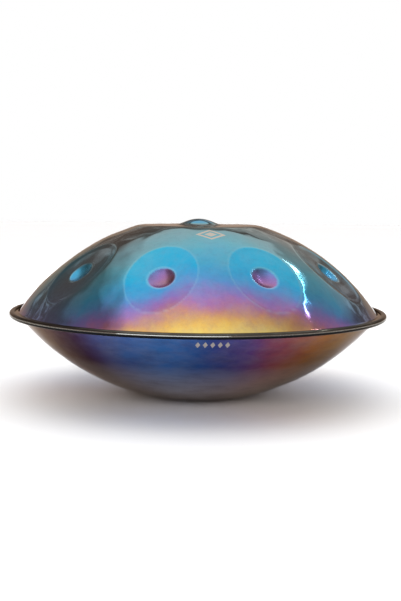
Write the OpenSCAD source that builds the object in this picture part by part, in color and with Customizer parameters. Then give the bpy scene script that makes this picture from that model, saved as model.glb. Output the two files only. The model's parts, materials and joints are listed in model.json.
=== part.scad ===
// Handpan: two pressed steel shells, bonded flange to flange, with an edge band round the rim.
// The origin is on the axis, in the plane that the bottom shell rests on. +Z is up, and -Y is
// the player's side, where the gap between two note fields faces.

/* [Overall] */
// Diameter across the edge band
overall_d = 530; // [500:5:560]
// Width of the rim outside the shells, edge band included
rim_w = 12; // [10:0.5:16]

/* [Shells] */
// Thickness of the steel sheet
sheet = 1.2; // [0.9:0.1:1.5]
// Rise of the top shell above the seam, before its fields are pressed flat
dome_rise = 135; // [110:1:140]
// Depth of the bottom shell below the seam, before its port is formed
bowl_depth = 123; // [110:1:140]
// Radius of the bend between a shell and its flange
flange_bend = 4; // [3:0.5:6]

/* [Note fields] */
// Number of note fields round the top shell
field_count = 9; // [7:1:9]
// Radius of the circle that the field centres lie on
field_ring_r = 193; // [186:1:195]
// Length of a field, down the slope of the shell
field_l = 120; // [105:1:124]
// Width of a field, round the shell
field_w = 92; // [80:1:98]
// Diameter of a field's dimple
dimple_d = 36; // [28:1:40]
// Depth of a field's dimple
dimple_depth = 6; // [3:0.5:7]

/* [Ding] */
// Diameter of the flat centre field
ding_field_d = 168; // [150:2:176]
// Diameter of the raised dome in its middle
ding_dome_d = 60; // [50:2:80]
// Height of the raised dome
ding_dome_h = 9; // [5:0.5:12]

/* [Port] */
// Diameter of the port's neck, inside
port_d = 100; // [90:2:110]
// Height of the port's neck above the resting face
neck_h = 18; // [14:1:30]
// Outside radius of the bend between the resting face and the neck
port_bend = 6; // [4:0.5:8]
// Width of the flat resting face, outside the port's bend
land_w = 6; // [4:1:10]

/* [Seam] */
// Thickness of the adhesive between the flanges
bond_t = 0.6; // [0.4:0.1:1]
// Height of the edge band
band_h = 7.5; // [5.5:0.5:8]
// Gap between the edge band's two ends, at the back
band_gap = 0.8; // [0.5:0.1:2]

/* [Hidden] */
$fn = 180;

overall_r = overall_d / 2;
shell_r = overall_r - rim_w;
// Half the thickness of the bond and of the whole stack of flanges.
bond_half = bond_t / 2;
stack_half = bond_half + sheet;
// The band's outer edge is a half circle about the flanges' edge.
band_r = band_h / 2;
flange_r = overall_r - band_r;
band_grip = 4;
// How far the adhesive's bead reaches above and below the seam plane.
bead_h = 1.6;
// Where the flange joins the sloping wall: within the wall's own thickness.
flange_root_r = shell_r - 1.5;
// Further than any part of the model reaches.
far = 600;
// Keeps the arc of a flange's bend from ending in a feather edge.
bend_bite = 0.03;

// Radius of the sphere whose cap has the given base radius and height.
function cap_radius(base_r, h) = (base_r * base_r + h * h) / (2 * h);

dome_R = cap_radius(shell_r, dome_rise);
dome_z = dome_rise - dome_R;
bowl_R = cap_radius(shell_r, bowl_depth);
bowl_z = bowl_R - bowl_depth;

port_r = port_d / 2;
land_r = port_r + port_bend + land_w;
land_z = bowl_z - sqrt(bowl_R * bowl_R - land_r * land_r);
seam_z = -land_z;

// The flat ding field cuts the dome at its own radius.
ding_flat_z = dome_z + sqrt(dome_R * dome_R - pow(ding_field_d / 2, 2));
ding_R = cap_radius(ding_dome_d / 2, ding_dome_h);
ding_dome_z = ding_flat_z + ding_dome_h - ding_R;

// A field is where a large cylinder, lying across the slope, cuts the dome. Its width sets how
// deep the cylinder cuts, and its length sets the cylinder's radius.
field_cut = pow(field_w / 2, 2) / (2 * dome_R);
field_R = 1 / (1 / dome_R - 2 * field_cut / pow(field_l / 2, 2));
field_tilt = asin(field_ring_r / dome_R);
field_top = dome_R - field_cut;
dimple_R = cap_radius(dimple_d / 2, dimple_depth);
// How far past a field, and above and below its surface, the space that is cut away goes.
field_margin = 4;
press_reach = 12;

// The pressed part of the top shell starts this far above the seam, clear of the flange's bend.
foot_h = 10;
// The legs of the edge band have round tips.
band_tip_r = (band_r - stack_half) / 2;

// The azimuths of the field centres: the gap between two fields faces -Y.
function field_azimuth(i) = -90 + (i + 0.5) * 360 / field_count;

// Places its children at a field's centre line, with the origin at the dome's centre and +Z out
// through the field.
module at_field(i) {
    translate([0, 0, dome_z])
        rotate([0, field_tilt, field_azimuth(i)])
            children();
}

// Outline of the space under the top shell, inset from its outer face, from the seam's plane up.
module dome_outline(inset) {
    intersection() {
        translate([0, dome_z]) circle(r = dome_R - inset);
        translate([0, foot_h]) square([far, ding_flat_z - inset - foot_h]);
    }
    intersection() {
        translate([0, ding_dome_z]) circle(r = ding_R - inset);
        translate([0, ding_flat_z - inset - sheet]) square([ding_dome_d, far]);
    }
}

// The space under the top shell, with its fields pressed flat and its dimples pressed in.
module pressed_dome(inset) {
    difference() {
        rotate_extrude() dome_outline(inset);
        for (i = [0 : field_count - 1])
            at_field(i) {
                above_field(inset);
                translate([0, 0, field_top - dimple_depth + dimple_R])
                    sphere(r = dimple_R + inset);
            }
    }
}

// What lies above a field's large cylinder, as far out as the field reaches.
module above_field(inset) {
    difference() {
        translate([0, 0, field_top])
            cube([field_l + field_margin, field_w + field_margin, 2 * press_reach], center = true);
        translate([0, 0, field_top - field_R])
            rotate([90, 0, 0])
                cylinder(r = field_R - inset, h = 2 * field_w, center = true);
    }
}

// Half section of a shell's foot: the bottom of its wall, the bend and the flange, above the
// seam. The wall follows a circle of radius wall_R about the height wall_z, up to the height top.
module foot_outline(wall_R, wall_z, top) {
    bend_z = stack_half + flange_bend;
    bend_x = sqrt(pow(wall_R + flange_bend, 2) - pow(bend_z - wall_z, 2));
    intersection() {
        difference() {
            translate([0, wall_z]) circle(r = wall_R);
            translate([0, wall_z]) circle(r = wall_R - sheet);
        }
        translate([0, bond_half]) square([far, top - bond_half]);
    }
    translate([flange_root_r, bond_half]) square([flange_r - flange_root_r, sheet]);
    difference() {
        translate([flange_root_r, bond_half])
            square([bend_x - flange_root_r, stack_half - bond_half + flange_bend / 2]);
        translate([bend_x, bend_z]) circle(r = flange_bend + bend_bite);
        translate([0, wall_z]) circle(r = wall_R - sheet / 2);
    }
}

module top_shell() {
    color("steelblue") {
        rotate_extrude() foot_outline(dome_R, dome_z, foot_h);
        difference() {
            pressed_dome(0);
            pressed_dome(sheet);
            translate([0, 0, foot_h - far]) cylinder(r = far, h = far);
        }
    }
}

// Half section of the port: the flat resting face, the bend and the neck that stands inside.
module port_outline() {
    bend_x = port_r + port_bend;
    bend_z = land_z + port_bend;
    translate([bend_x, land_z]) square([land_r - bend_x, sheet]);
    translate([port_r, bend_z]) square([sheet, neck_h - port_bend]);
    intersection() {
        difference() {
            translate([bend_x, bend_z]) circle(r = port_bend);
            translate([bend_x, bend_z]) circle(r = port_bend - sheet);
        }
        translate([port_r, land_z]) square([port_bend, port_bend]);
    }
}

module bottom_shell() {
    color("darkslateblue")
        rotate_extrude() {
            mirror([0, 1]) foot_outline(bowl_R, -bowl_z, foot_h);
            intersection() {
                difference() {
                    translate([0, bowl_z]) circle(r = bowl_R);
                    translate([0, bowl_z]) circle(r = bowl_R - sheet);
                }
                translate([land_r, -far]) square([far, far - foot_h]);
            }
            port_outline();
        }
}

// Where a shell's inner face is at the height z, for a wall on a sphere of radius R about z0.
function inner_x(R, z0, z) = sqrt(pow(R - sheet, 2) - pow(z - z0, 2));

// The adhesive between the flanges, with the bead that squeezed out inside the seam.
module rim_bond() {
    color("dimgray")
        rotate_extrude()
            polygon([
                [flange_r, -bond_half],
                [flange_r, bond_half],
                [inner_x(dome_R, dome_z, bond_half), bond_half],
                [inner_x(dome_R, dome_z, bead_h), bead_h],
                [inner_x(bowl_R, -bowl_z, bead_h), -bead_h],
                [inner_x(bowl_R, -bowl_z, bond_half), -bond_half]
            ]);
}

// Half section of the edge band: a half-round nose with two legs that grip the flanges.
module band_outline() {
    tip_x = flange_r - band_grip + band_tip_r;
    difference() {
        union() {
            translate([flange_r, 0]) circle(r = band_r);
            for (side = [-1, 1]) {
                translate([tip_x, side * (stack_half + band_tip_r)]) circle(r = band_tip_r);
                translate([tip_x, side * (stack_half + band_tip_r) - band_tip_r])
                    square([flange_r - tip_x, 2 * band_tip_r]);
            }
        }
        translate([flange_r - band_r - 1, -stack_half])
            square([band_r + 1, 2 * stack_half]);
    }
}

module edge_band() {
    color("black")
        difference() {
            rotate_extrude() band_outline();
            translate([-band_gap / 2, overall_r - 2 * rim_w, -band_h])
                cube([band_gap, 3 * rim_w, 2 * band_h]);
        }
}

// Everything is drawn about the seam plane, and lifted until the resting face is at z = 0.
module lifted() {
    translate([0, 0, seam_z]) children();
}

lifted() top_shell();
lifted() bottom_shell();
lifted() rim_bond();
lifted() edge_band();
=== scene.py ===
import json
import math

import bpy
from mathutils import Matrix, Vector, noise


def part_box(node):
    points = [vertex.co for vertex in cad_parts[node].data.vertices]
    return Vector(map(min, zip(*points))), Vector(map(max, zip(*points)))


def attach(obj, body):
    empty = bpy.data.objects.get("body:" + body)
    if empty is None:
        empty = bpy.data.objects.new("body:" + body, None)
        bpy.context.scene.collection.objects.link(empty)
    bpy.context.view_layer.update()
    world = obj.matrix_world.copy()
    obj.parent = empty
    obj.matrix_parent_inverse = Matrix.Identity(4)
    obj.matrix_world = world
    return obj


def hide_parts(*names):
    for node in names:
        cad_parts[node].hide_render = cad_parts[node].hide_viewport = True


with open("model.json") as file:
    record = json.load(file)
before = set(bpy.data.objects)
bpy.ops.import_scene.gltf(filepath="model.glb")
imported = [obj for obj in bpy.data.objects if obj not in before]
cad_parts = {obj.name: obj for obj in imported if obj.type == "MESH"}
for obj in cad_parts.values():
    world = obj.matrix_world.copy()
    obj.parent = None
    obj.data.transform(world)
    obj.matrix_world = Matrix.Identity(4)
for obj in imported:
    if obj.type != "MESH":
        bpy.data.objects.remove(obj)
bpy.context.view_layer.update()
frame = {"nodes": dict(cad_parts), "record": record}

MM = 0.001
TAU = 2 * math.pi

# ---------------------------------------------------------------- driving dimensions, in metres
band_low, band_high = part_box("edge_band")
SEAM_Z = (band_low[2] + band_high[2]) / 2
BAND_R = (band_high[2] - band_low[2]) / 2
PORT = next(m for m in frame["record"]["mounts"] if m["name"] == "port")
PORT_R = PORT["dims"]["r_mm"] * MM
PORT_WALL = PORT["dims"]["length_mm"] * MM

OVERALL_R = 265 * MM
RIM_W = 12 * MM
SHELL_R = OVERALL_R - RIM_W
FLANGE_R = OVERALL_R - BAND_R
SHEET = 1.2 * MM
BOND_HALF = 0.3 * MM
STACK_HALF = BOND_HALF + SHEET
FLANGE_BEND = 4 * MM
PORT_BEND = 6 * MM
LAND_W = 6 * MM
BAND_GRIP = 4 * MM
BAND_GAP = 0.8 * MM

DOME_RISE = 135 * MM
BOWL_DEPTH = 123 * MM
FIELD_COUNT = 9
FIELD_RING_R = 193 * MM
FIELD_HALF_W = 46 * MM
FIELD_HALF_L = 60 * MM
DIMPLE_HALF_W = 17.5 * MM
DIMPLE_HALF_L = 18.5 * MM
DIMPLE_DEPTH = 6 * MM
DING_FIELD_R = 84 * MM
DING_DOME_R = 27 * MM
DING_DOME_H = 9 * MM
# The rounding at the foot of the raised dome, and where the flat centre field meets the slope.
DING_FLARE = 7 * MM
DING_FIELD_SOFT = 2 * MM


def cap_radius(base_r, height):
    """Radius of the sphere whose cap has this base radius and height."""
    return (base_r**2 + height**2) / (2 * height)


DOME_R = cap_radius(SHELL_R, DOME_RISE)
DOME_Z = SEAM_Z + DOME_RISE - DOME_R
BOWL_R = cap_radius(SHELL_R, BOWL_DEPTH)
BOWL_Z = SEAM_Z - BOWL_DEPTH + BOWL_R
FIELD_TILT = math.asin(FIELD_RING_R / DOME_R)
FIELD_CUT = FIELD_HALF_W**2 / (2 * DOME_R)
DING_FLAT_Z = DOME_Z + math.sqrt(DOME_R**2 - DING_FIELD_R**2)
DING_CAP_R = cap_radius(DING_DOME_R, DING_DOME_H)
DIMPLE_R = cap_radius(DIMPLE_HALF_W, DIMPLE_DEPTH)

# ---------------------------------------------------------------- camera
CAMERA_AZIMUTH = math.radians(-5.94)
CAMERA_ELEVATION = math.radians(6.44)
CAMERA_DISTANCE = 1.484
CAMERA_ROLL = math.radians(0.64)
# How far to the right of the rim's centre and above it the camera aims.
AIM_RIGHT = 0.0033
AIM_UP = 0.0159
LENS = 62.38
SENSOR_WIDTH = 36


def add_camera():
    """The camera aims a little above and to the right of the rim's centre."""
    level = math.cos(CAMERA_ELEVATION)
    back = Vector((
        math.sin(CAMERA_AZIMUTH) * level,
        -math.cos(CAMERA_AZIMUTH) * level,
        math.sin(CAMERA_ELEVATION),
    ))
    right = Vector((math.cos(CAMERA_AZIMUTH), math.sin(CAMERA_AZIMUTH), 0))
    centre = Vector((0, 0, SEAM_Z))
    place = centre + back * CAMERA_DISTANCE
    aim = centre + right * AIM_RIGHT + right.cross(-back) * AIM_UP
    turn = (aim - place).to_track_quat("-Z", "Y").to_matrix()
    roll = Matrix.Rotation(CAMERA_ROLL, 3, "Z")
    data = bpy.data.cameras.new("camera")
    data.lens = LENS
    data.sensor_width = SENSOR_WIDTH
    camera = bpy.data.objects.new("camera", data)
    camera.matrix_world = Matrix.Translation(place) @ (turn @ roll).to_4x4()
    bpy.context.collection.objects.link(camera)
    bpy.context.scene.camera = camera


# ---------------------------------------------------------------- mesh helpers
def smooth_above(x, width):
    """The larger of x and 0, with the corner rounded over width on both sides."""
    near = max(width - abs(x), 0) / width
    return max(x, 0) + near * near * width / 4


def bell(x):
    """1 at 0, and close to 0 past 2 on either side."""
    return math.exp(-x * x)


def smooth_step(low, high, x):
    """From 0 at low to 1 at high, with a soft start and end. low may be the larger of the two."""
    t = min(1, max(0, (x - low) / (high - low)))
    return t * t * (3 - 2 * t)


def ripple(x, y, z, size):
    """Smooth unevenness from -1 to 1, with swells about size across."""
    return noise.noise(Vector((x, y, z)) / size)


def ring_mesh(name, rings, marks, loop=False):
    """A closed mesh through rings of points. It ends in rings of one point, or joins up in a loop."""
    points, starts = [], []
    for ring in rings:
        starts.append(len(points))
        points.extend(ring)
    faces = []
    for i in range(len(rings) - (0 if loop else 1)):
        n = (i + 1) % len(rings)
        a, b = rings[i], rings[n]
        sa, sb = starts[i], starts[n]
        count = max(len(a), len(b))
        for j in range(count):
            k = (j + 1) % count
            if len(a) == 1:
                faces.append((sa, sb + k, sb + j))
            elif len(b) == 1:
                faces.append((sa + j, sa + k, sb))
            else:
                faces.append((sa + j, sa + k, sb + k, sb + j))
    mesh = bpy.data.meshes.new(name)
    mesh.from_pydata(points, [], faces)
    mesh.update()
    mesh.polygons.foreach_set("use_smooth", [True] * len(faces))
    for mark, values in marks.items():
        layer = mesh.attributes.new(mark, "FLOAT", "POINT")
        layer.data.foreach_set("value", values)
    piece = bpy.data.objects.new(name, mesh)
    bpy.context.collection.objects.link(piece)
    return piece


def spun(r, z, steps):
    """A ring of points of radius r at the height z."""
    return [
        (r * math.sin(TAU * j / steps), -r * math.cos(TAU * j / steps), z)
        for j in range(steps)
    ]


def arc(cx, cz, r, start, end, steps):
    """Points (radius, height) along an arc, with its ends, for angles in degrees."""
    turns = [math.radians(start + (end - start) * i / steps) for i in range(steps + 1)]
    return [(cx + r * math.cos(t), cz + r * math.sin(t)) for t in turns]


def spaced(stops):
    """Values from the first stop to the last, where stops are (value, steps to the next)."""
    values = [stops[0][0]]
    for (a, steps), (b, _) in zip(stops, stops[1:]):
        values += [a + (b - a) * (i + 1) / steps for i in range(steps)]
    return values


# ---------------------------------------------------------------- the top shell's surface
class Field:
    """One note field: its centre direction from the dome's centre, and its two tangents."""

    def __init__(self, azimuth):
        s, c = math.sin(azimuth), math.cos(azimuth)
        st, ct = math.sin(FIELD_TILT), math.cos(FIELD_TILT)
        self.out = Vector((s * st, -c * st, ct))
        self.down = Vector((s * ct, -c * ct, -st))
        self.side = Vector((c, s, 0))

    def place(self, u):
        """Distances across and down the field of the direction u."""
        w = u.dot(self.out)
        return DOME_R * math.atan2(u.dot(self.side), w), DOME_R * math.atan2(u.dot(self.down), w)

    def direction(self, across, down):
        """The direction at these distances across and down the field."""
        a, d = math.tan(across / DOME_R), math.tan(down / DOME_R)
        return (self.out + self.side * a + self.down * d).normalized()


FIELDS = [Field(TAU * (i + 0.5) / FIELD_COUNT) for i in range(FIELD_COUNT)]
# Points of the mesh that are this close to an outline are moved onto it, unless they are near its
# centre.
SNAP = 0.9 * MM
NEAR_CENTRE = 0.1
# The soft edge of a field, and the step down into it, which starts at its outline.
FIELD_EDGE = 2.0 * MM
FIELD_STEP = 0.5 * MM
FIELD_STEP_END = 0.84
# A field's outline has a painted highlight along its crease, and painted shade just inside it,
# at this share of the way out.
FIELD_LINE = 0.6
FIELD_SHADE = 0.5
FIELD_SHADE_Q = 0.94
FIELD_SHADE_W = 2.6 * MM
# Fields are tuned, so they are less uneven than the sheet between them, by this share.
FIELD_CALM = 0.6
# The painted highlight ring round a dimple, and the rounding of the dimple's edge.
DIMPLE_EDGE = 1.5 * MM
DIMPLE_RING_Q = 1.04
DIMPLE_SOFT = 0.6 * DIMPLE_EDGE
# Where the mark of a field and that of a dimple start and are full, as shares of the way out.
FIELD_MARK = (1.02, 0.97)
DIMPLE_MARK = (1.08, 0.92)
# Further out than this many times its radius a dimple has no effect.
DIMPLE_REACH = 1.6
# The hammered sheet's unevenness: how far apart its swells are, as shares of the dome's radius,
# and how high they are.
DOME_RIPPLES = ((0.4, 0.7 * MM), (0.13, 0.6 * MM), (0.06, 0.28 * MM))
BOWL_RIPPLES = ((0.4, 0.7 * MM), (0.14, 0.4 * MM), (0.07, 0.12 * MM))


def field_at(azimuth):
    """The field whose sector of the shell this azimuth is in."""
    return FIELDS[int((azimuth % TAU) / TAU * FIELD_COUNT) % FIELD_COUNT]


def snapped(u, azimuth):
    """Moves a direction onto the outline of a field or a dimple, if it is close to one."""
    field = field_at(azimuth)
    across, down = field.place(u)
    for half_w, half_l in ((FIELD_HALF_W, FIELD_HALF_L), (DIMPLE_HALF_W, DIMPLE_HALF_L)):
        q = math.hypot(across / half_w, down / half_l)
        if q > NEAR_CENTRE and math.hypot(across, down) * abs(1 / q - 1) < SNAP:
            return field.direction(across / q, down / q)
    return u


def dome_height(r):
    """Height of the dome's outer face at the radius r, with its flat middle and raised dome."""
    ball = DOME_Z + math.sqrt(DOME_R**2 - r**2)
    flat = ball - smooth_above(ball - DING_FLAT_Z, DING_FIELD_SOFT)
    if r > DING_CAP_R:
        return flat
    return flat + smooth_above(math.sqrt(DING_CAP_R**2 - r**2) - DING_CAP_R + DING_DOME_H, DING_FLARE)


# The unevenness dies out over these distances from the axis and from the flange.
CALM_TOP = 60 * MM
CALM_FOOT = 20 * MM
# The same at the bowl's two edges, as angles.
CALM_TILT = 0.08


def fade(r):
    """Ripples die out at the top of the raised dome and towards the flange."""
    return min(1, r / CALM_TOP) * min(1, max(0, SHELL_R - r) / CALM_FOOT)


def dome_point(tilt, azimuth, inset=0.0, snap=True):
    """A point of the top shell at this tilt from the axis, with its painted-light edge, dimple and field
    marks.
    """
    st = math.sin(tilt)
    u = Vector((math.sin(azimuth) * st, -math.cos(azimuth) * st, math.cos(tilt)))
    u = snapped(u, azimuth) if snap else u
    r = DOME_R * math.hypot(u.x, u.y)
    flat = Vector((u.x * DOME_R, u.y * DOME_R, dome_height(r)))
    across, down = field_at(azimuth).place(u)
    q = math.hypot(across / FIELD_HALF_W, down / FIELD_HALF_L)
    d = math.hypot(across / DIMPLE_HALF_W, down / DIMPLE_HALF_L)
    sink = FIELD_CUT * smooth_above(1 - q * q, 2 * FIELD_EDGE / FIELD_HALF_W)
    sink += FIELD_STEP * smooth_step(1.0, FIELD_STEP_END, q)
    if d < DIMPLE_REACH:
        chord = DIMPLE_R**2 - (d * DIMPLE_HALF_W) ** 2
        sink += smooth_above(math.sqrt(chord) - DIMPLE_R + DIMPLE_DEPTH, DIMPLE_SOFT)
    swell = sum(ripple(u.y, u.z, u.x, size) * height for size, height in DOME_RIPPLES)
    field = smooth_step(*FIELD_MARK, q)
    swell *= fade(r) * (1 - FIELD_CALM * field)
    # The edge mark is painted light: a highlight along each field's crease, shade just inside it, and a
    # highlight ring round each dimple.
    edge = bell((q - 1) * FIELD_HALF_W / FIELD_EDGE) * FIELD_LINE
    edge -= bell((q - FIELD_SHADE_Q) * FIELD_HALF_W / FIELD_SHADE_W) * FIELD_SHADE
    edge = max(edge, bell((d - DIMPLE_RING_Q) * DIMPLE_HALF_W / DIMPLE_EDGE))
    return flat + u * (swell - sink - inset), edge, smooth_step(*DIMPLE_MARK, d), field


LIP_R = 0.4 * MM
# The flange has a ring of points this far inside its edge.
FLANGE_RING = 3 * MM
BEND_STEPS = 8
LIP_STEPS = 3


def foot_profile(ball_r, ball_z, up):
    """A shell's bend and flange, from its wall to its inner corner. up is 1 or -1."""
    bend_z = STACK_HALF + FLANGE_BEND
    bend_x = math.sqrt((ball_r + FLANGE_BEND) ** 2 - (bend_z + up * (SEAM_Z - ball_z)) ** 2)
    touch = math.degrees(math.atan2(bend_z + up * (SEAM_Z - ball_z), bend_x))
    bend = arc(bend_x, bend_z, FLANGE_BEND, touch + 180, 270, BEND_STEPS)
    inner_r = math.sqrt((ball_r - SHEET) ** 2 - (BOND_HALF + up * (SEAM_Z - ball_z)) ** 2)
    lip = arc(FLANGE_R - LIP_R, STACK_HALF - LIP_R, LIP_R, 90, 0, LIP_STEPS)
    ring_r = FLANGE_R - FLANGE_RING
    under = [(FLANGE_R, BOND_HALF), (ring_r, BOND_HALF), (inner_r, BOND_HALF)]
    return [(r, SEAM_Z + up * z) for r, z in bend + [(ring_r, STACK_HALF)] + lip + under]


TOP_STEPS = 585
BOWL_STEPS = 480
BAND_STEPS = 720
# Tilts from the axis, in radians, each with the number of rings up to the next. The outer rings lie
# close together across the fields.
OUTER_TILTS = (
    (0.004, 8), (0.075, 10), (0.135, 6), (0.2, 9), (0.275, 12), (0.455, 68), (0.857, 8),
)
INNER_TILTS = ((0.03, 4), (0.2, 5), (0.44, 16), (0.8, 4), (0.93, 0))
# The tint gives way to bare steel over this many rings of the foot.
RIM_RINGS = 5


def add_top_shell():
    """The pressed shell: outer face from the top down, flange, and inner face back up."""
    foot = foot_profile(DOME_R, DOME_Z, 1)
    foot_tilt = math.asin(foot[0][0] / DOME_R)
    tilts = spaced([*OUTER_TILTS, (foot_tilt, 0)])
    rings = []
    marks = {"edge": [], "dimple": [], "field": [], "rim": []}

    def take(ring, rim=0.0):
        """Adds a ring, and the marks of its points."""
        rings.append([p[0] if isinstance(p[0], Vector) else p for p in ring])
        for p in ring:
            values = (*p[1:], 0.0) if isinstance(p[0], Vector) else (0.0, 0.0, 0.0, rim)
            for mark, value in zip(marks.values(), values):
                mark.append(value)

    take([(0, 0, dome_height(0))])
    for tilt in tilts[:-1]:
        take([dome_point(tilt, TAU * j / TOP_STEPS) for j in range(TOP_STEPS)])
    for i, (r, z) in enumerate(foot):
        take(spun(r, z, TOP_STEPS), rim=smooth_step(0, RIM_RINGS, i))
    for tilt in reversed(spaced(INNER_TILTS)):
        take([dome_point(tilt, TAU * j / TOP_STEPS, SHEET, False) for j in range(TOP_STEPS)])
    take([(0, 0, dome_height(0) - SHEET)])
    return ring_mesh("top_shell_pressed", rings, marks)


BOWL_INNER_RINGS = 30
BOWL_OUTER_RINGS = 70
# The bowl's inner face starts at this share of its tilt at the flange.
BOWL_INNER_START = 0.985
NECK_STEPS = 6


def add_bottom_shell():
    """The bowl: flange, inner face down to the port, neck, land, and outer face back up."""
    foot = foot_profile(BOWL_R, BOWL_Z, -1)
    land_r = PORT_R + PORT_BEND + LAND_W
    top = math.asin(foot[0][0] / BOWL_R)
    inner_top = BOWL_INNER_START * math.asin(foot[-1][0] / (BOWL_R - SHEET))
    end = math.asin(land_r / BOWL_R)
    rings, rims = [], []

    def take(ring, rim=0.0):
        """Adds a ring, and the mark of its points."""
        rings.append(ring)
        rims.extend([rim] * len(ring))

    def bowl_ring(tilt, inset):
        """A ring of the bowl's wall at this tilt from the axis, this far inside the outer face."""
        ring = []
        calm = smooth_step(end, end + CALM_TILT, tilt) * smooth_step(top, top - CALM_TILT, tilt)
        for j in range(BOWL_STEPS):
            turn = TAU * j / BOWL_STEPS
            s, c, st = math.sin(turn), math.cos(turn), math.sin(tilt)
            u = Vector((s * st, -c * st, -math.cos(tilt)))
            swell = calm * sum(ripple(u.y, u.z, u.x, size) * height for size, height in BOWL_RIPPLES)
            ring.append(Vector((0, 0, BOWL_Z)) + u * (BOWL_R - inset + swell))
        return ring

    for i, (r, z) in enumerate(foot):
        take(spun(r, z, BOWL_STEPS), smooth_step(0, RIM_RINGS, i))
    for i in range(BOWL_INNER_RINGS):
        take(bowl_ring(inner_top + (end - inner_top) * i / (BOWL_INNER_RINGS - 1), SHEET))
    bend_r = PORT_R + PORT_BEND
    neck_top = PORT["pos_m"][2] + PORT_WALL / 2
    port = arc(bend_r, PORT_BEND, PORT_BEND - SHEET, 270, 180, NECK_STEPS)
    port += arc(PORT_R + SHEET / 2, neck_top - SHEET / 2, SHEET / 2, 0, 180, NECK_STEPS)
    port += arc(bend_r, PORT_BEND, PORT_BEND, 180, 270, BEND_STEPS)
    for r, z in port:
        take(spun(r, z, BOWL_STEPS))
    for i in range(BOWL_OUTER_RINGS):
        take(bowl_ring(end + (top - end) * i / BOWL_OUTER_RINGS, 0))
    return ring_mesh("bottom_shell_pressed", rings, {"rim": rims}, loop=True)


NOSE_STEPS = 16
TIP_STEPS = 6


def add_edge_band():
    """The band is swept round the rim from one side of its gap to the other."""
    tip_r = (BAND_R - STACK_HALF) / 2
    tip_x = FLANGE_R - BAND_GRIP + tip_r
    section = arc(FLANGE_R, 0, BAND_R, 90, -90, NOSE_STEPS)
    section += arc(tip_x, -STACK_HALF - tip_r, tip_r, 270, 90, TIP_STEPS)
    section += [(FLANGE_R, -STACK_HALF), (FLANGE_R, STACK_HALF)]
    section += arc(tip_x, STACK_HALF + tip_r, tip_r, 270, 90, TIP_STEPS)
    gap = BAND_GAP / 2 / OVERALL_R
    points = []
    for j in range(BAND_STEPS + 1):
        turn = math.pi + gap + (TAU - 2 * gap) * j / BAND_STEPS
        points += [(r * math.sin(turn), -r * math.cos(turn), SEAM_Z + z) for r, z in section]
    n = len(section)
    faces = [
        (j * n + i, j * n + (i + 1) % n, (j + 1) * n + (i + 1) % n, (j + 1) * n + i)
        for j in range(BAND_STEPS)
        for i in range(n)
    ]
    faces += [tuple(range(n)), tuple(BAND_STEPS * n + i for i in reversed(range(n)))]
    mesh = bpy.data.meshes.new("edge_band_polished")
    mesh.from_pydata(points, [], faces)
    mesh.polygons.foreach_set("use_smooth", [True] * (len(faces) - 2) + [False] * 2)
    piece = bpy.data.objects.new("edge_band_polished", mesh)
    bpy.context.collection.objects.link(piece)
    return piece


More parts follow.
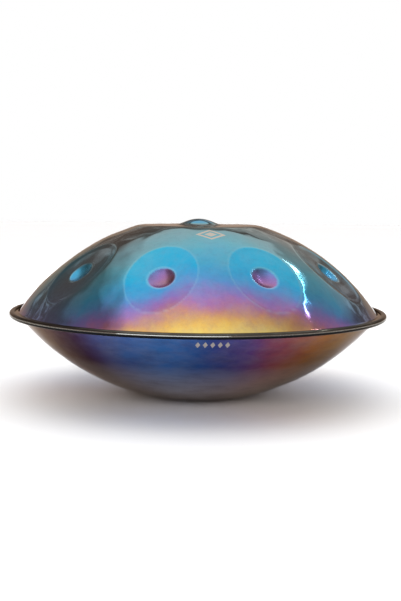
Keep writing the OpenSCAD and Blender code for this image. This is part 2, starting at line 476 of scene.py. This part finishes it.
# ---------------------------------------------------------------- materials
class Graph:
    """Builds one material's nodes. A value is a number or another node's output."""

    def __init__(self, name):
        self.material = bpy.data.materials.new(name)
        self.material.use_nodes = True
        self.tree = self.material.node_tree
        self.shader = self.tree.nodes["Principled BSDF"]
        self.place = self.node("ShaderNodeTexCoord").outputs["Object"]

    def node(self, kind, **settings):
        """A new node with these settings."""
        made = self.tree.nodes.new(kind)
        for key, value in settings.items():
            setattr(made, key, value)
        return made

    def feed(self, socket, value):
        """Sets a socket to a number, or links it to an output."""
        if isinstance(value, bpy.types.NodeSocket):
            self.tree.links.new(value, socket)
        else:
            socket.default_value = value

    def math(self, operation, *values):
        """The result of one operation on these values."""
        made = self.node("ShaderNodeMath", operation=operation)
        for socket, value in zip(made.inputs, values):
            self.feed(socket, value)
        return made.outputs[0]

    def span(self, value, low, high, to_low=0.0, to_high=1.0):
        """The value, moved from the range low to high into another, and held within it."""
        made = self.node("ShaderNodeMapRange")
        for socket, v in zip(made.inputs, (value, low, high, to_low, to_high)):
            self.feed(socket, v)
        return made.outputs[0]

    def blend(self, share, first, second):
        """The first colour, with this share of the second mixed in."""
        made = self.node("ShaderNodeMix", data_type="RGBA", blend_type="MIX")
        self.feed(made.inputs[0], share)
        for socket, colour in ((made.inputs[6], first), (made.inputs[7], second)):
            self.feed(socket, colour)
        return made.outputs[2]

    def noise(self, size, detail=3.0, roughness=0.5, stretch=(1, 1, 1), offset=0.0):
        """Noise from 0 to 1 whose swells are about size across."""
        mapping = self.node("ShaderNodeMapping")
        self.feed(mapping.inputs["Vector"], self.place)
        mapping.inputs["Scale"].default_value = stretch
        mapping.inputs["Location"].default_value = (offset, offset, offset)
        made = self.node("ShaderNodeTexNoise")
        self.feed(made.inputs["Vector"], mapping.outputs[0])
        made.inputs["Scale"].default_value = 1 / size
        made.inputs["Detail"].default_value = detail
        made.inputs["Roughness"].default_value = roughness
        return made.outputs["Fac"]

    def ramp(self, value, stops):
        """The colour at this value between the stops of (position, colour)."""
        made = self.node("ShaderNodeValToRGB")
        made.color_ramp.interpolation = "B_SPLINE"
        marks = made.color_ramp.elements
        while len(marks) < len(stops):
            marks.new(1.0)
        for mark, (position, colour) in zip(marks, stops):
            mark.position = position
            mark.color = (*linear(colour), 1)
        self.feed(made.inputs[0], value)
        return made.outputs[0]

    def axes(self):
        """Across, back, and the height above the seam."""
        split = self.node("ShaderNodeSeparateXYZ")
        self.feed(split.inputs[0], self.place)
        x, y, z = split.outputs
        return x, y, self.math("SUBTRACT", z, SEAM_Z)

    def radius(self, x, y):
        """The distance from the axis."""
        squares = [self.math("MULTIPLY", value, value) for value in (x, y)]
        return self.math("SQRT", self.math("ADD", *squares))

    def azimuth(self, x, y):
        """The angle round the axis, 0 at the front."""
        return self.math("ARCTAN2", x, self.math("MULTIPLY", y, -1))

    def glow(self, colour):
        """Makes the surface give off this light, and mirror nothing."""
        self.feed(self.shader.inputs["Base Color"], (0, 0, 0, 1))
        self.feed(self.shader.inputs["Specular IOR Level"], 0.0)
        self.feed(self.shader.inputs["Emission Color"], colour)
        self.feed(self.shader.inputs["Emission Strength"], 1.0)

    def mark(self, name):
        """One of the numbers that the mesh carries at each point."""
        made = self.node("ShaderNodeAttribute", attribute_name=name)
        return made.outputs["Fac"]

    def bump(self, height, distance, under=None):
        """A normal for relief of this depth, laid over another one."""
        made = self.node("ShaderNodeBump")
        made.inputs["Strength"].default_value = 1.0
        made.inputs["Distance"].default_value = distance
        self.feed(made.inputs["Height"], height)
        if under is not None:
            self.feed(made.inputs["Normal"], under)
        return made.outputs[0]


def linear(colour):
    """A display colour of 0 to 255 as the linear numbers that shaders take."""
    shares = [c / 255 for c in colour]
    return [c / 12.92 if c <= 0.04045 else ((c + 0.055) / 1.055) ** 2.4 for c in shares]


def solid(colour):
    """A display colour of 0 to 255 as a socket takes it."""
    return (*linear(colour), 1)


# Display colours, of 0 to 255.
GUNMETAL = (92, 86, 70)
ETCHED = (200, 192, 182)
SLATE_LOW = (150, 138, 172)
SLATE_HIGH = (162, 146, 142)
PALE_TEAL = (122, 158, 166)
DEEP_VIOLET = (104, 62, 128)
CLOUD_BLUE = (150, 182, 200)
STAIN_GREY = (96, 92, 124)
FRECKLE_BROWN = (78, 66, 84)
# Painted highlight on the field and dimple outlines, and painted shade just inside the field outlines.
OUTLINE_HIGHLIGHT = (168, 220, 234)
OUTLINE_SHADE = (58, 74, 110)
# Bare steel, painted far paler than it is as painted light.
BOWL_BARE_AND_PAINTED_LIGHT = (240, 240, 242)
BOWL_CLOUD = (150, 146, 160)
BOWL_STREAK = (58, 50, 78)
BAND_DARK = (80, 78, 72)
BAND_LIGHT = (106, 104, 96)
# Painted shade on the band's lower half.
BAND_UNDERSIDE_SHADE = (24, 26, 30)
# Painted highlight along the band's nose.
BAND_NOSE_HIGHLIGHT = (226, 236, 238)
GLUE_DARK = (52, 52, 54)
GLUE_LIGHT = (78, 76, 72)
# The share of each colour that the steel still mirrors when it is seen almost edge on.
TOP_EDGE = (0.9, 0.82, 0.74)
BOWL_EDGE = (0.5, 0.44, 0.4)
BAND_EDGE = (0.6, 0.57, 0.54)
# A lozenge is etched on the slope at the front of the top shell, and a row of small ones under
# the front of the rim.
BADGE_R = 110 * MM
BADGE_HALF_W = 20 * MM
BADGE_HALF_L = 15 * MM
BADGE_X = 4 * MM
BEADS = 5
BEAD_PITCH = 9 * MM
BEAD_DROP = 13 * MM
BEAD_X = -7 * MM
BEAD_HALF_W = 3 * MM
BEAD_HALF_L = 4 * MM
# The top shell's tint goes by the height above the seam, up to TINT_TOP. The rest of these say how
# far it is moved, in metres: by the wave round the axis, the clouds, the dimples (a painted reflection)
# and the raised dome.
TINT_TOP = 0.16
TINT_WAVE = 0.058
TINT_CLOUD = 0.014
TINT_DIMPLE_REFLECTION = -0.034
TINT_DING = -0.084
# Above this height the tint of a field goes up more slowly, by this share.
TINT_CAP = 0.085
TINT_CAP_SHARE = 0.75
# Both shells' tints repeat this many times round the axis.
TINT_TURNS = 3
# The surface's relief: how far apart its marks are, and how deep.
PORES = (3.5 * MM, 0.01 * MM)
HAMMER_MARKS = (22 * MM, 0.12 * MM)
HAIRLINES = (4 * MM, 0.004 * MM)


def turned(graph, x, y, times):
    """A wave round the axis, from -1 to 1, with this many swells, one of them at the front."""
    return graph.math("COSINE", graph.math("MULTIPLY", graph.azimuth(x, y), times))


def lozenge(graph, across, along, half_w, half_h):
    """How far out a place is in a lozenge: 0 at its centre and 1 at its outline."""
    a = graph.math("DIVIDE", graph.math("ABSOLUTE", across), half_w)
    return graph.math("ADD", a, graph.math("DIVIDE", graph.math("ABSOLUTE", along), half_h))


def finish_metal(graph, colour, roughness, grain, edge):
    """Polished sheet: pores, hammer marks and hairlines, grain times as deep, and uneven polish."""
    shader = graph.shader
    graph.feed(shader.inputs["Base Color"], colour)
    shader.inputs["Metallic"].default_value = 1.0
    shader.inputs["Specular Tint"].default_value = (*edge, 1)
    smear = graph.noise(0.05, 4, 0.6, offset=3.1)
    hairs = graph.noise(HAIRLINES[0], 2, 0.5, stretch=(1, 1, 14), offset=1.7)
    uneven = graph.span(smear, 0.3, 0.75, 0.0, 0.05)
    graph.feed(shader.inputs["Roughness"], graph.math("ADD", uneven, roughness))
    pores = graph.bump(graph.noise(PORES[0], 3, 0.6), PORES[1] * grain)
    marks = graph.noise(HAMMER_MARKS[0], 2, 0.5, offset=5.3)
    marks = graph.bump(marks, HAMMER_MARKS[1] * grain, pores)
    graph.feed(shader.inputs["Normal"], graph.bump(hairs, HAIRLINES[1] * grain, marks))
    return graph.material


def tinted_top():
    """Heat-tinted steel: gold at the foot, through rose and violet, to cyan and pale teal."""
    graph = Graph("tinted_steel_top")
    x, y, height = graph.axes()
    # The wave fades out towards the axis, where it would leave wedges.
    faded_in = graph.span(graph.radius(x, y), 0.02, 0.11)
    wave = graph.math("MULTIPLY", turned(graph, x, y, TINT_TURNS), faded_in)
    level = graph.math("ADD", height, graph.span(wave, -1, 1, TINT_WAVE, 0))
    cloud = graph.span(graph.noise(0.07, 5, 0.6), 0.2, 0.8, -TINT_CLOUD, TINT_CLOUD)
    level = graph.math("ADD", level, cloud)
    dimple, field, edge = (graph.mark(name) for name in ("dimple", "field", "edge"))
    # Painted reflection: the dimples' tint is moved to the colours their tilted faces reflect.
    level = graph.math("ADD", level, graph.span(dimple, 0, 1, 0, TINT_DIMPLE_REFLECTION))
    # The tint stays cyan up to the top of a field.
    above = graph.math("MAXIMUM", graph.math("SUBTRACT", level, TINT_CAP), 0)
    above = graph.math("MULTIPLY", above, graph.span(field, 0, 1, 0, TINT_CAP_SHARE))
    level = graph.math("SUBTRACT", level, above)
    centre = graph.span(graph.radius(x, y), DING_DOME_R, 0.8 * DING_DOME_R)
    level = graph.math("ADD", level, graph.math("MULTIPLY", centre, TINT_DING))
    tint = graph.ramp(graph.span(level, 0, TINT_TOP), [
        (0.00, (255, 232, 126)),
        (0.07, (250, 206, 108)),
        (0.14, (228, 170, 102)),
        (0.20, (204, 136, 144)),
        (0.26, (176, 122, 194)),
        (0.32, (134, 132, 206)),
        (0.38, (92, 154, 216)),
        (0.46, (50, 166, 220)),
        (0.54, (40, 178, 222)),
        (0.64, (78, 190, 216)),
        (0.74, (106, 180, 194)),
        (1.00, (130, 148, 156)),
    ])
    # Between the swells of the wave the steel is slate.
    slate = graph.span(wave, -0.65, -1, 0, 0.62)
    slate = graph.math("MULTIPLY", slate, graph.span(dimple, 0, 1, 1, 0.15))
    grey = graph.blend(graph.span(height, 0.015, 0.055), solid(SLATE_LOW), solid(SLATE_HIGH))
    tint = graph.blend(slate, tint, grey)
    # High up, the sheet between the fields is paler than they are.
    between = graph.math("SUBTRACT", 1.0, field)
    between = graph.math("MULTIPLY", between, graph.span(level, 0.06, 0.085, 0, 0.3))
    tint = graph.blend(between, tint, solid(PALE_TEAL))
    # Low down, the fields are darker.
    shaded = graph.math("MULTIPLY", field, graph.span(level, 0.062, 0.034, 0, 0.3))
    tint = graph.blend(shaded, tint, solid(DEEP_VIOLET))
    clouds = graph.span(graph.noise(0.03, 6, 0.7, offset=2.2), 0.35, 0.7, 0.0, 0.22)
    tint = graph.blend(clouds, tint, solid(CLOUD_BLUE))
    stains = graph.span(graph.noise(0.012, 6, 0.7, offset=7.4), 0.5, 0.75, 0.0, 0.16)
    tint = graph.blend(stains, tint, solid(STAIN_GREY))
    freckles = graph.span(graph.noise(0.005, 5, 0.75, stretch=(1, 1, 0.6), offset=9.2), 0.45, 0.75)
    freckles = graph.math("MULTIPLY", freckles, graph.span(slate, 0, 0.6, 0.08, 0.2))
    tint = graph.blend(freckles, tint, solid(FRECKLE_BROWN))
    # Painted highlight along the field creases and round the dimples, and painted shade inside the field
    # outlines.
    tint = graph.blend(graph.span(edge, 0.1, 1, 0, 0.36), tint, solid(OUTLINE_HIGHLIGHT))
    tint = graph.blend(graph.span(edge, -0.1, -0.5, 0, 0.2), tint, solid(OUTLINE_SHADE))
    outward = graph.math("SUBTRACT", graph.math("MULTIPLY", y, -1), BADGE_R)
    across = graph.math("SUBTRACT", x, BADGE_X)
    badge = lozenge(graph, across, outward, BADGE_HALF_W, BADGE_HALF_L)
    frame_only = graph.math("COMPARE", badge, 0.86, 0.14)
    badge = graph.math("ADD", frame_only, graph.math("LESS_THAN", badge, 0.42))
    tint = graph.blend(badge, tint, solid(ETCHED))
    tint = graph.blend(graph.mark("rim"), tint, solid(GUNMETAL))
    return finish_metal(graph, tint, graph.span(dimple, 0, 1, 0.04, 0.24), 1.0, TOP_EDGE)


def tinted_bottom():
    """Heat-tinted steel whose tint turns from mauve through blue and copper, three times round."""
    graph = Graph("tinted_steel_bottom")
    x, y, height = graph.axes()
    turns = graph.math("DIVIDE", graph.azimuth(x, y), TAU / TINT_TURNS)
    shift = graph.span(graph.noise(0.09, 5, 0.55, offset=4.4), 0.2, 0.8, -0.06, 0.06)
    phase = graph.math("FRACT", graph.math("ADD", graph.math("ADD", turns, shift), 0.5))
    tint = graph.ramp(phase, [
        (0.00, (118, 100, 94)),
        (0.04, (92, 76, 86)),
        (0.09, (60, 43, 57)),
        (0.17, (84, 72, 112)),
        (0.26, (80, 104, 166)),
        (0.35, (66, 124, 190)),
        (0.44, (52, 94, 160)),
        (0.51, (62, 70, 140)),
        (0.58, (100, 70, 134)),
        (0.65, (142, 74, 96)),
        (0.74, (160, 98, 62)),
        (0.83, (166, 128, 88)),
        (0.92, (164, 146, 122)),
        (1.00, (118, 100, 94)),
    ])
    # The tint fades towards the port to bare steel, painted far paler than it is: painted light that makes
    # up for the shaded floor this part mirrors.
    bare = graph.span(height, -0.045, -0.1, 0, 0.78)
    tint = graph.blend(bare, tint, solid(BOWL_BARE_AND_PAINTED_LIGHT))
    clouds = graph.span(graph.noise(0.035, 6, 0.7, (1, 1, 2), 2.9), 0.4, 0.7, 0.0, 0.24)
    tint = graph.blend(clouds, tint, solid(BOWL_CLOUD))
    streaks = graph.span(graph.noise(0.03, 6, 0.7, (1, 1, 4), 8.1), 0.45, 0.7, 0.0, 0.3)
    tint = graph.blend(streaks, tint, solid(BOWL_STREAK))
    along = graph.math("SUBTRACT", x, BEAD_X)
    beside = graph.math("PINGPONG", graph.math("ADD", along, BEAD_PITCH * BEADS / 2), BEAD_PITCH / 2)
    across = graph.math("SUBTRACT", beside, BEAD_PITCH / 2)
    bead = lozenge(graph, across, graph.math("ADD", height, BEAD_DROP), BEAD_HALF_W, BEAD_HALF_L)
    within = graph.math("LESS_THAN", graph.math("ABSOLUTE", along), BEAD_PITCH * BEADS / 2)
    front = graph.math("MULTIPLY", within, graph.math("LESS_THAN", y, 0))
    badge = graph.math("MULTIPLY", graph.math("LESS_THAN", bead, 1), front)
    tint = graph.blend(badge, tint, solid(ETCHED))
    tint = graph.blend(graph.mark("rim"), tint, solid(GUNMETAL))
    return finish_metal(graph, tint, 0.06, 1.0, BOWL_EDGE)


def band_metal():
    """Dark polished steel, with painted shade on its lower half and a painted highlight along the nose."""
    graph = Graph("band_gunmetal")
    height = graph.axes()[2]
    rub = graph.span(graph.noise(0.03, 5, 0.6), 0.4, 0.75)
    colour = graph.blend(rub, solid(BAND_DARK), solid(BAND_LIGHT))
    # Painted shade: the band's lower half is painted black.
    underside_shade = graph.span(height, 0, -0.2 * BAND_R)
    colour = graph.blend(underside_shade, colour, solid(BAND_UNDERSIDE_SHADE))
    # Painted highlight: a bright line just above the middle of the nose.
    nose_highlight = graph.math("COMPARE", height, 0.22 * BAND_R, 0.16 * BAND_R)
    colour = graph.blend(graph.span(nose_highlight, 0, 1, 0, 0.5), colour, solid(BAND_NOSE_HIGHLIGHT))
    return finish_metal(graph, colour, 0.06, 0.3, BAND_EDGE)


def glue():
    """Cured adhesive with small pits."""
    graph = Graph("rim_adhesive")
    colour = graph.blend(graph.noise(0.01, 4), solid(GLUE_DARK), solid(GLUE_LIGHT))
    graph.feed(graph.shader.inputs["Base Color"], colour)
    graph.feed(graph.shader.inputs["Roughness"], graph.span(graph.noise(0.004), 0, 1, 0.35, 0.6))
    graph.feed(graph.shader.inputs["Normal"], graph.bump(graph.noise(0.003, 3), 0.0002))
    return graph.material


def paper(name, colour):
    """Matte studio paper, very slightly mottled."""
    graph = Graph(name)
    tone = graph.blend(graph.noise(0.4, 4), solid(colour), solid([c - 3 for c in colour]))
    graph.feed(graph.shader.inputs["Base Color"], tone)
    graph.shader.inputs["Roughness"].default_value = 0.9
    graph.feed(graph.shader.inputs["Normal"], graph.bump(graph.noise(0.002, 3), 0.00005))
    return graph.material


# ---------------------------------------------------------------- stage and lights
def sheet_mesh(name, corners):
    """A flat piece of the stage."""
    mesh = bpy.data.meshes.new(name)
    mesh.from_pydata(corners, [], [tuple(range(4))])
    piece = bpy.data.objects.new(name, mesh)
    bpy.context.collection.objects.link(piece)
    return piece


ROOM_R = 9
WALL_FOOT = -0.5
WALL_STEPS = 64
FLOOR_PAPER = (238, 238, 238)


def add_stage():
    """A wide pale floor, with a pale backdrop all round that mirrors don't see."""
    corners = [(x * ROOM_R, y * ROOM_R, 0) for x, y in ((-1, -1), (1, -1), (1, 1), (-1, 1))]
    floor = sheet_mesh("floor", corners)
    floor.data.materials.append(paper("floor_paper", FLOOR_PAPER))
    wall = ring_mesh("backdrop", [spun(ROOM_R, z, WALL_STEPS) for z in (ROOM_R, WALL_FOOT)], {}, loop=True)
    graph = Graph("backdrop_paper")
    graph.glow((1, 1, 1, 1))
    wall.data.materials.append(graph.material)
    wall.visible_glossy = False
    wall.visible_diffuse = False
    wall.visible_shadow = False


def add_softbox(name, place, size, radiance, turn, mirrored=True, lights=True):
    """An area light whose face has this radiance. It faces down until it is turned."""
    data = bpy.data.lights.new(name, "AREA")
    data.shape = "RECTANGLE"
    data.size, data.size_y = size
    data.energy = radiance * math.pi * size[0] * size[1]
    light = bpy.data.objects.new(name, data)
    light.location = place
    light.rotation_euler = [math.radians(angle) for angle in turn]
    light.visible_glossy = mirrored
    light.visible_diffuse = lights
    light.visible_camera = False
    bpy.context.collection.objects.link(light)


ROOM_LOW = (184, 160, 144)
ROOM_HIGH = (134, 122, 114)
# The share of the way up at which the room has its upper colour.
ROOM_HIGH_AT = 0.6


def add_world():
    """A dim warm room: brown at eye level, a little darker overhead."""
    world = bpy.data.worlds.new("room")
    bpy.context.scene.world = world
    world.use_nodes = True
    nodes, links = world.node_tree.nodes, world.node_tree.links
    where = nodes.new("ShaderNodeTexCoord")
    split = nodes.new("ShaderNodeSeparateXYZ")
    ramp = nodes.new("ShaderNodeValToRGB")
    marks = ramp.color_ramp.elements
    marks[0].position = 0.0
    marks[0].color = solid(ROOM_LOW)
    marks[1].position = ROOM_HIGH_AT
    marks[1].color = solid(ROOM_HIGH)
    links.new(where.outputs["Generated"], split.inputs[0])
    links.new(split.outputs[2], ramp.inputs[0])
    links.new(ramp.outputs[0], nodes["Background"].inputs["Color"])
    nodes["Background"].inputs["Strength"].default_value = 1.0


CEILING = 2.0
CEILING_HALF = 8.0
# Where the ceiling's parts end, in metres. Each glows in full up to the first number, and not at
# all past the second.
BOX_LEFT = (-1.05, -1.65)
BOX_RIGHT = (1.98, 2.12)
BOX_BACK = (2.1, 2.3)
BOX_FRONT = (-2.0, -2.4)
CORNER_LEFT = (1.8, 0.0)
CORNER_FRONT = (-0.5, 1.0)
WING_LEFT = (2.12, 1.98)
WING_RIGHT = (3.2, 4.2)
WING_BACK = (4.0, 5.0)
WING_FRONT = (-0.4, -0.9)
SLIP_RIGHT = (-1.6, -1.3)
SLIP_LEFT = (-2.3, -2.7)
SLIP_BACK = (1.2, 1.5)
SLIP_FRONT = (-0.8, -1.2)
CLUTTER_FRONT = (2.6, 2.3)
# The ceiling's sides lean: how far each moves across for each metre back.
LEFT_LEAN = 0.326
RIGHT_LEAN = 0.412
# Brightness of the ceiling's parts, where 1 is white.
BOX_GLOW = 0.95
CORNER_GLOW = 0.3
WING_GLOW = (0.27, 0.46)
SLIP_GLOW = 0.14
CLUTTER_GLOW = 0.42
CEILING_BROWN = (122, 108, 102)


def add_ceiling():
    """A glowing sheet overhead, which only mirrors see: a soft box with dimmer wings beside it."""
    corners = [
        (x * CEILING_HALF, y * CEILING_HALF, CEILING)
        for x, y in ((-1, -1), (-1, 1), (1, 1), (1, -1))
    ]
    sheet = sheet_mesh("ceiling", corners)
    sheet.visible_camera = False
    sheet.visible_diffuse = False
    sheet.visible_shadow = False
    graph = Graph("ceiling_glow")
    x, y, _ = graph.axes()
    left = graph.math("SUBTRACT", x, graph.math("MULTIPLY", y, LEFT_LEAN))
    right = graph.math("ADD", x, graph.math("MULTIPLY", y, RIGHT_LEAN))

    def within(*edges):
        """1 where each value is on the inner side of its edge, and 0 on the outer side."""
        share = 1.0
        for value, full, none in edges:
            share = graph.math("MULTIPLY", share, graph.span(value, none, full))
        return share

    box = within((left, *BOX_LEFT), (right, *BOX_RIGHT), (y, *BOX_BACK), (y, *BOX_FRONT))
    corner = within((x, *CORNER_LEFT), (y, *CORNER_FRONT))
    box = graph.math("MULTIPLY", box, graph.span(corner, 0, 1, BOX_GLOW, CORNER_GLOW))
    wing = within((right, *WING_LEFT), (x, *WING_RIGHT), (y, *WING_BACK), (y, *WING_FRONT))
    wing = graph.math("MULTIPLY", wing, graph.span(y, -0.5, 2.5, *WING_GLOW))
    slip = within((left, *SLIP_RIGHT), (x, *SLIP_LEFT), (y, *SLIP_BACK), (y, *SLIP_FRONT))
    slip = graph.math("MULTIPLY", slip, SLIP_GLOW)
    clutter = graph.span(graph.noise(0.55, 6, 0.68), 0.48, 0.6, 0, CLUTTER_GLOW)
    clutter = graph.math("MULTIPLY", clutter, within((y, *CLUTTER_FRONT)))
    glow = graph.math("ADD", graph.math("ADD", box, clutter), graph.math("ADD", wing, slip))
    graph.glow(graph.blend(glow, solid(CEILING_BROWN), (1, 1, 1, 1)))
    sheet.data.materials.append(graph.material)


SUN_STRENGTH = 3.35
SUN_SPREAD = math.radians(100)
SUN_COLOUR = (0.93, 0.97, 1.0)
# Places and sizes of the soft boxes in metres, and their turns in degrees.
STRIP_PLACE = (1.66, 0.6, CEILING - 0.01)
STRIP_SIZE = (0.023, 1.7)
STRIP_RADIANCE = 18
STRIP_TURN = 24
FRONT_STRIP_PLACE = (-1.4, -3.8, 0.58)
FRONT_STRIP_SIZE = (5.0, 0.9)
FRONT_STRIP_RADIANCE = 2.6
FRONT_STRIP_TURN = (82, 0, -20)
FILL_BACK = 2.2
FILL_UP = 1.0
FILL_SIZE = (3.0, 1.0)
FILL_RADIANCE = 2
FILL_TURN = 60


def add_lights():
    """Soft light that no metal mirrors, and slim soft boxes that are seen only in mirrors."""
    sun = bpy.data.objects.new("even_light", bpy.data.lights.new("even_light", "SUN"))
    sun.data.energy = SUN_STRENGTH
    sun.data.angle = SUN_SPREAD
    sun.data.color = SUN_COLOUR
    sun.visible_glossy = False
    bpy.context.collection.objects.link(sun)
    for name, place, size, radiance, turn in (
        ("strip", STRIP_PLACE, STRIP_SIZE, STRIP_RADIANCE, (0, 0, STRIP_TURN)),
        ("front_strip", FRONT_STRIP_PLACE, FRONT_STRIP_SIZE, FRONT_STRIP_RADIANCE, FRONT_STRIP_TURN),
    ):
        add_softbox(name, place, size, radiance, turn, lights=False)
    for name, side in (("front_fill", 1), ("back_fill", -1)):
        place = (0, -FILL_BACK * side, FILL_UP)
        add_softbox(name, place, FILL_SIZE, FILL_RADIANCE, (FILL_TURN * side, 0, 0), mirrored=False)


# ---------------------------------------------------------------- making everything
add_camera()
add_stage()
add_world()
add_ceiling()
add_lights()
bpy.context.scene.view_settings.view_transform = "Standard"

for maker, node, slot, material in (
    (add_top_shell, "top_shell", "top_steel", tinted_top),
    (add_bottom_shell, "bottom_shell", "bottom_steel", tinted_bottom),
    (add_edge_band, "edge_band", "band_steel", band_metal),
):
    piece = maker()
    piece.data.materials.append(material())
    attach(piece, "root")
    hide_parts(node)

bond = frame["nodes"]["rim_bond"]
adhesive = glue()
for holder in bond.material_slots:
    holder.material = adhesive
